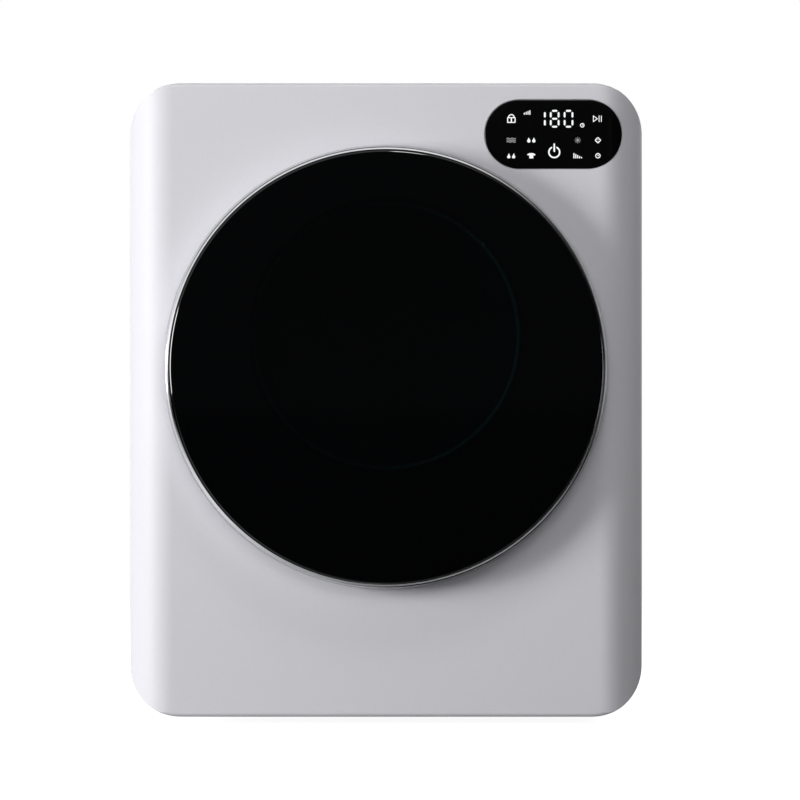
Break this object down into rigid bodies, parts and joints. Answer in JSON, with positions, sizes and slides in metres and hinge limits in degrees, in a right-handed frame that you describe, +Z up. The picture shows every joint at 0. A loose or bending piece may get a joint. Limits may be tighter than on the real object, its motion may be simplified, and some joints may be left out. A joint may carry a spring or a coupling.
{
  "type": "portable clothes dryer",
  "caption": "Compact vented tumble dryer with a rounded silver-white front, a large round smoked-glass door and a touch panel at the upper right.",
  "frame": {"origin": "on the floor under the middle of the whole machine", "axes": "+X to the right seen from the front, +Y to the rear, +Z up; the door faces -Y"},
  "size_m": [0.49, 0.443, 0.608],
  "materials": {
    "front_moulding": "satin silver-white moulding with a faint lavender cast",
    "wrap_paint": "satin silver-white paint on sheet steel",
    "tray_paint": "dark grey paint on sheet steel",
    "rear_steel": "pale grey coated sheet",
    "zinc_steel": "galvanised sheet",
    "drum_steel": "brushed stainless sheet",
    "screw_steel": "zinc-plated screws",
    "door_chrome": "bright chrome",
    "smoked_glass": "dark smoked glass",
    "bowl_glass": "clear glass with a teal cast",
    "black_moulding": "fine-grained black moulding",
    "panel_black": "gloss black lens",
    "grey_moulding": "grey moulding",
    "white_moulding": "off-white moulding",
    "rubber_black": "black rubber",
    "gasket_grey": "grey silicone",
    "felt_grey": "pressed felt",
    "board_green": "printed board",
    "bronze": "sintered bronze",
    "cast_alloy": "die-cast alloy",
    "motor_steel": "laminated and pressed steel",
    "heater_alloy": "finned alloy"
  },
  "bodies": {
    "cabinet": {"front_fascia": "front_moulding", "cabinet_wrap": "wrap_paint", "base_tray": "tray_paint", "rear_panel": "rear_steel", "casing_screws": "screw_steel", "wall_nuts": "screw_steel", "feet": "rubber_black", "intake_grille": "grey_moulding", "exhaust_collar": "grey_moulding", "cord_gland": "rubber_black", "touch_panel": "panel_black", "display_housing": "black_moulding", "display_board": "board_green", "hinge_bracket": "zinc_steel", "front_screws": "screw_steel", "hinge_pin": "screw_steel", "catch_magnet": "black_moulding", "switch_body": "black_moulding", "face_gasket": "gasket_grey", "mouth_ring": "white_moulding", "front_bulkhead": "zinc_steel", "front_felt": "felt_grey", "rear_bulkhead": "zinc_steel", "rear_felt": "felt_grey", "bearing_spider": "cast_alloy", "rear_bearing": "bronze", "heater_duct": "zinc_steel", "heater_core": "heater_alloy", "thermal_cutout": "black_moulding", "return_duct": "grey_moulding", "blower_housing": "grey_moulding", "motor_housing": "cast_alloy", "motor_stator": "motor_steel", "motor_cradle": "zinc_steel", "drive_belt": "rubber_black", "idler_bracket": "zinc_steel", "capacitor": "cast_alloy", "capacitor_clip": "zinc_steel", "control_housing": "black_moulding", "control_board": "board_green"},
    "door": {"door_ring": "door_chrome", "door_glass": "smoked_glass", "door_frame": "black_moulding", "door_bowl": "bowl_glass", "bowl_clamp_ring": "black_moulding", "door_screws": "screw_steel", "hinge_leaf": "zinc_steel", "strike_plate": "zinc_steel"},
    "drum": {"drum_shell": "drum_steel", "drum_back": "drum_steel", "drum_shaft": "screw_steel", "shaft_nut": "screw_steel", "lifters": "white_moulding"},
    "lint_filter": {"lint_filter": "grey_moulding"},
    "motor": {"motor_rotor": "motor_steel", "motor_pulley": "screw_steel", "blower_wheel": "black_moulding"},
    "idler_arm": {"idler_arm": "zinc_steel"},
    "idler_pulley": {"idler_pulley": "black_moulding"},
    "switch_plunger": {"switch_plunger": "white_moulding"}
  },
  "joints": [
    {"name": "door_hinge", "type": "hinge", "parent": "cabinet", "child": "door", "pos_m": [-0.2015, -0.2035, 0.339], "axis": [0, 0, -1], "range_deg": [0, 110]},
    {"name": "drum_spin", "type": "hinge", "parent": "cabinet", "child": "drum", "pos_m": [0, 0.1197, 0.369], "axis": [0, 1, 0], "continuous": true},
    {"name": "filter_pull", "type": "slide", "parent": "drum", "child": "lint_filter", "axis": [0, -1, 0], "range_m": [0, 0.06]},
    {"name": "motor_spin", "type": "hinge", "parent": "cabinet", "child": "motor", "pos_m": [0.11, 0.0365, 0.092], "axis": [0, 1, 0], "continuous": true},
    {"name": "idler_swing", "type": "hinge", "parent": "cabinet", "child": "idler_arm", "pos_m": [0.062, -0.031, 0.034], "axis": [0, 1, 0], "range_deg": [0, 12], "stiffness_Nm_per_rad": 2, "springref_deg": -11.46},
    {"name": "idler_spin", "type": "hinge", "parent": "idler_arm", "child": "idler_pulley", "pos_m": [0.02, -0.0435, 0.06], "axis": [0, 1, 0], "continuous": true},
    {"name": "plunger_press", "type": "slide", "parent": "cabinet", "child": "switch_plunger", "axis": [0, 1, 0], "range_m": [0, 0.003], "stiffness_N_per_m": 150, "springref_m": -0.002}
  ],
  "couplings": [
    {"joint": "motor_spin", "follows": "drum_spin", "ratio": 21.2},
    {"joint": "idler_spin", "follows": "drum_spin", "ratio": 13.25}
  ]
}
